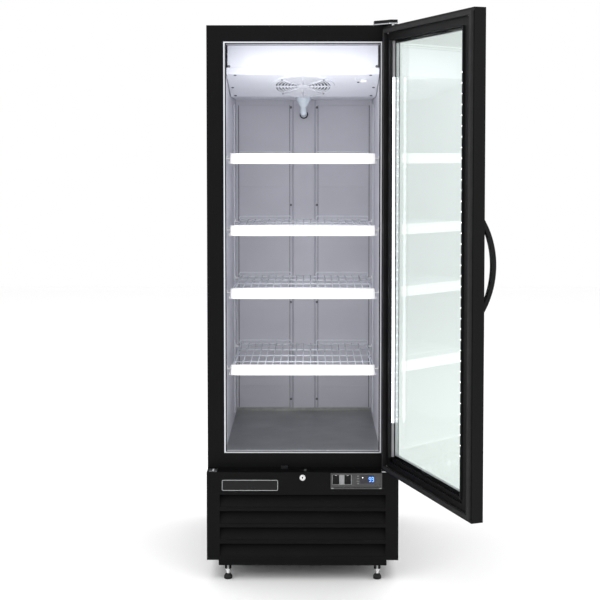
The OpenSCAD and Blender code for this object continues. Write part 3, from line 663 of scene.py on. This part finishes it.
o = Build("rocker_marks", M["white"], "cabinet", "white_plastic")
for x in (120, 162.5):
    o.box(x - 3.5, x + 3.5, -404.9, -404.1, 386.1, 387.2)
o.done(0.1)

# the controller's window, with a dot and two equal figures made of bars
o = Build("controller_window", [M["window"], M["white_dot"], M["blue_digit"]], "cabinet", "controller_dark")
plate(o, 207, 257, 358, 388, 3, 1, ((0, -405.4), (0, -406.2), (0.7, -406.6)))
o.use(1).lathe([(0, 0), (2.1, 0), (1.8, 0.7), (0, 0.9)], (216, -406.6, 379.5), "-Y", 20)
o.use(2)
FIGURE = ((1.2, 6.3, 380, 381.6), (0, 1.4, 373.6, 380), (6.1, 7.5, 373.6, 380),
          (1.2, 6.3, 372.2, 373.6), (6.1, 7.5, 366, 372.2), (1.2, 6.3, 364.4, 366))
for x in (238.5, 248.5):
    for x0, x1, z0, z1 in FIGURE:
        o.box(x + x0, x + x1, -406.9, -406.5, z0, z1)
o.done(0.15)

o = Build("controller_keys", M["plate_grey"], "cabinet", "controller_dark")
for k in range(4):
    o.lathe([(0, 0), (2.0, 0), (1.8, 0.5), (0, 0.7)], (199.5, -405.5, 357.5 + k * 9), "-Y", 16)
o.done()

# painted highlights: small light grey patches on the two lower corners of the bezel
o = Build("bezel_corner_highlights", M["plate_grey"], "cabinet", "bezel_grey")
for x0, x1 in ((103, 112), (275, 284)):
    o.box(x0, x1, -407.4, -406.9, 339, 342)
o.done(0.2)

o = Build("lock_ring", M["nickel"], "cabinet", "lock_nickel")
o.lathe([(7.3, 0), (10.8, 0), (11.4, 1.4), (10.4, 3.6), (8.6, 4.2), (7.3, 3.2)],
        (LOCK[0], PANEL_Y, LOCK[1]), "-Y", 48, True)
o.done()

o = Build("spare_hinge_cap", M["zinc"], "cabinet", "zinc_steel")
o.prism(rounded(-338, -308, -392, -360, 4), (396.9, 399.6))
for y in (-384, -368):
    screw(o, (-323, y, 399.4), "Z", 4.5, 2)
o.done(0.5)

o = Build("bracket_screws", M["zinc"], "cabinet", "zinc_steel")
for x in (292, 303):
    screw(o, (x, -371, 399.9), "Z", 4.2, 2)
for x in (268, 290, 312):
    screw(o, (x, -325, 2006.9), "Z", 4.5, 2)
o.done()

# painted shade: a small black cup on the face of the lock core stands for the dark inside of its recess
o = Build("lock_recess", M["hole"], "lock_core", "lock_nickel")
o.lathe([(0, 0), (2.9, 0), (2.9, 1.2), (1.2, 1.2), (1.0, 0.6), (0, 0.6)],
        (LOCK[0], PANEL_Y - 0.3, LOCK[1]), "-Y", 24)
o.done()

# dark seal along the inner edge of the opening's trim
o = Build("trim_seal", M["seal"], "cabinet", "gasket")
for x0, x1, z0, z1 in ((-279.8, -276.2, 463, 1936), (276.2, 279.8, 463, 1936),
                       (-279.8, 279.8, 459.2, 462.9), (-279.8, 279.8, 1936.1, 1939.8)):
    o.box(x0, x1, FACE_Y - 1.2, FACE_Y + 12, z0, z1)
o.done(0.8)


# ---------------------------------------------------------------- feet
def foot(node, x, y):
    o = Build(f"{node}_shown", [M["rubber"], M["stem"]], node, "foot_black")
    c = (x, y, 0)
    o.lathe([(0, 0), (13.5, 0), (15, 1.5), (15, 8.5), (14.2, 11), (12, 14.5), (9.4, 17.5), (7.2, 18.8), (0, 19)],
            c, sides=48)
    o.use(1)
    thread = [(0, 18.8)]
    z = 19.0
    while z < 70:
        thread += [(5.3, z), (6.0, z + 0.75)]
        z += 1.5
    o.lathe(thread + [(5.3, 71), (0, 71.5)], c, sides=32)
    start = o.count()
    o.prism(circle(10, 6), (30, 36.6))
    o.moved(shift(*c), start)
    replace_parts(o.done(0.35, 30), node)


for end, y in (("front", -370), ("rear", 370)):
    for side, x in (("left", -271), ("right", 271)):
        foot(f"foot_{end}_{side}", x, y)


# ---------------------------------------------------------------- door details, in the door's own frame
def on_door(name, mats, slot):
    return Build(name, mats, "door", slot, DOOR_FRAME)


def led_heights():
    """Heights of the LEDs along a light bar."""
    z = LED_LOW + 12
    while z < LED_HIGH:
        yield z
        z += LED_STEP


o = on_door("led_lens", [M["led_on"], M["led_off"]], "led_bar")
for part, z0, z1 in ((0, LED_LOW, LED_HIGH), (1, 465, LED_LOW - 0.5), (1, LED_HIGH + 0.5, 1939)):
    o.use(part).box(-51.7, -50.8, 14, 23.5, z0, z1)
o.done(0.3)

o = on_door("led_dots", M["led_dot"], "led_bar")
for z in led_heights():
    start = o.count()
    o.lathe([(0, 0), (3.0, 0), (2.6, 0.9), (1.4, 1.5), (0, 1.7)], (0, 0, 0), "Z", 14)
    o.moved(shift(-51.6, 19, z) @ turn(-90, "Y"), start)
o.done()

o = on_door("led_edge_dots", M["led_dot"], "led_bar")
for z in led_heights():
    o.lathe([(0, 0), (1.4, 0), (1.2, 0.8), (0, 1.1)], (-594.6, 34.8, z), "Y", 12)
o.done()

o = on_door("led_ends", M["plastic_black"], "led_bar")
for x0, x1 in ((STILE_IN - 5.9, STILE_IN), (FREE_IN, FREE_IN + 5.9)):
    for z0, z1 in ((459.8, 463.4), (1938.5, 1941.9)):
        o.box(x0, x1, 12.6, 33, z0, z1)
o.done(0.8)

# thin bright edge inside the black spacer
o = on_door("spacer_edge", M["spacer_line"], "spacer")
x0, x1, z0, z1 = -590.8, -51.2, 470.2, 1931.8
line = 0.9
for a, b, c, d in ((x0, x0 + line, z0, z1), (x1 - line, x1, z0, z1),
                   (x0 + line, x1 - line, z0, z0 + line), (x0 + line, x1 - line, z1 - line, z1)):
    o.box(a, b, -3.6, 7.6, c, d)
o.done(0.2)

# two folds of the gasket's bellows
o = on_door("gasket_folds", M["rubber"], "gasket")
x0, x1, z0, z1 = -657.2, -0.8, 412.8, 1981.2
for y in (31.5, 34.5):
    o.tube([(x0, y, z0), (x1, y, z0), (x1, y, z1), (x0, y, z1)], 1.3, 8, closed=True)
o.done()

screws("door_screws", "zinc", "black_frame", "Y",
       [(x, DOOR_IN - 0.1, z) for x in (-628, -22) for z in (425, 1968)], 3.6, 1.6, "door", DOOR_FRAME)

# joints between the uprights and the rails, on both faces
o = on_door("door_mitres", M["hole"], "black_frame")
for x in (FREE_IN, STILE_IN):
    for z0, z1 in ((402.4, 446.5), (1942.5, 1991.6)):
        o.box(x - 0.2, x + 0.3, DOOR_OUT - 0.15, DOOR_OUT + 0.2, z0, z1)
        o.box(x - 0.2, x + 0.3, DOOR_IN - 0.2, DOOR_IN + 0.1, z0, z1)
o.done()

# pads under the two ends of the handle
o = on_door("handle_plates", M["plastic_black"], "handle_black")
for side in (-1, 1):
    z = HANDLE_Z + side * 138
    o.box(-655.5, -636.5, DOOR_OUT - 1.2, DOOR_OUT + 0.1, z - 14, z + 14)
o.done(0.6)


# ---------------------------------------------------------------- back and top
screws("back_screws", "zinc", "galvanised", "Y",
       [(x, OUTER_BACK_Y, z) for z in range(430, 1990, 195) for x in (-332, 332)]
       + [(x, OUTER_BACK_Y, z) for x in (-220, -110, 0, 110, 220) for z in (430, 1985)], 4.2, 2)
screws("grille_rear_screws", "zinc", "dark_sheet", "Y",
       [(x, OUTER_BACK_Y, z) for x in (-330, -165, 0, 165, 330) for z in (92, 385)], 4.2, 2)
screws("top_screws", "zinc", "dark_sheet", "Z",
       [(x, 395, TOP_Z) for x in (-330, -165, 0, 165, 330)]
       + [(x, y, TOP_Z) for y in (-100, 150) for x in (-330, 330)], 4.2, 2)

o = Build("back_ribs", M["galv"], "cabinet", "galvanised")
for x in (-200, 0, 200):
    o.prism(rounded(x - 14, x + 14, 409.6, 411.2, 0.7, 2), (520, 1900))
o.done(0.3)

# stub pipe, weld seam and rubber mounts
x, y = COMPRESSOR
o = Build("compressor_details", [M["copper"], M["plastic_black"], M["rubber"]], "cabinet", "compressor_black")
o.use(0).tube([(x, y, 244), (x, y, 252), (x + 10, y, 258), (x + 26, y, 258)], 4, 10)
o.use(1).lathe([(78, 0), (81, 1), (81, 5), (78, 6)], (x, y, 170), sides=64, closed=True)
o.use(2)
for dx in (-82, 82):
    for dy in (-48, 48):
        o.lathe([(0, 0), (12, 0), (12, 3), (10, 5), (12, 7), (10, 9), (0, 9.4)], (x + dx, y + dy, 79), sides=24)
o.done(0.4)


# ---------------------------------------------------------------- camera, light, floor
def area(name, location, target, size, power, color=(1, 1, 1), size_y=None):
    light = bpy.data.lights.new(name, "AREA")
    light.energy = power
    light.size = size
    light.color = color
    if size_y:
        light.shape = "RECTANGLE"
        light.size_y = size_y
    o = bpy.data.objects.new(name, light)
    o.location = location
    o.rotation_euler = (Vector(target) - Vector(location)).to_track_quat("-Z", "Y").to_euler()
    bpy.context.scene.collection.objects.link(o)
    return o


camera = bpy.data.cameras.new("camera")
camera.lens = 73.17
camera.sensor_width = 36
camera.shift_x = -0.0110
camera.shift_y = -0.1616
camera.clip_end = 60
view = bpy.data.objects.new("camera", camera)
view.location = (0.0325, -4.7426, 1.562)
view.rotation_euler = (math.radians(90 - 2.566), 0, math.radians(0.2375))
bpy.context.scene.collection.objects.link(view)
bpy.context.scene.camera = view

world = bpy.data.worlds.new("studio")
bpy.context.scene.world = world
world.use_nodes = True
sky = world.node_tree.nodes["Background"]
sky.inputs["Color"].default_value = (1.0, 1.0, 1.0, 1)
sky.inputs["Strength"].default_value = 1.0

COOL_WHITE = (0.96, 0.97, 1.0)
area("key_left", (-2.6, -3.6, 2.6), (0, 0, 1.1), 1.6, 22)
area("key_right", (2.4, -3.8, 2.2), (0, 0, 1.1), 1.6, 14)
area("overhead", (0, -0.6, 4.6), (0, -0.6, 0), 6.0, 130)
# light of the compartment, and of the space under the evaporator
inside = area("inside", (0, -0.335, 1.14), (0, 0.35, 1.14), 0.5, 1.6, COOL_WHITE, 1.35)
upper = area("upper", (0, -0.335, 1.80), (0, 0.1, 1.86), 0.5, 0.36, COOL_WHITE, 0.2)
for lamp in (inside, upper):
    lamp.visible_camera = False
    lamp.visible_glossy = False
bpy.context.scene.view_settings.view_transform = "Standard"

HALF = 9000
floor = Build("studio_floor", [coated("pale_floor", (0.97, 0.97, 0.97), 0.7, 0.995, 0.2)], None)
floor.faces([(-HALF, -HALF, -0.5), (HALF, -HALF, -0.5), (HALF, HALF, -0.5), (-HALF, HALF, -0.5)], [(0, 1, 2, 3)])
floor.done()
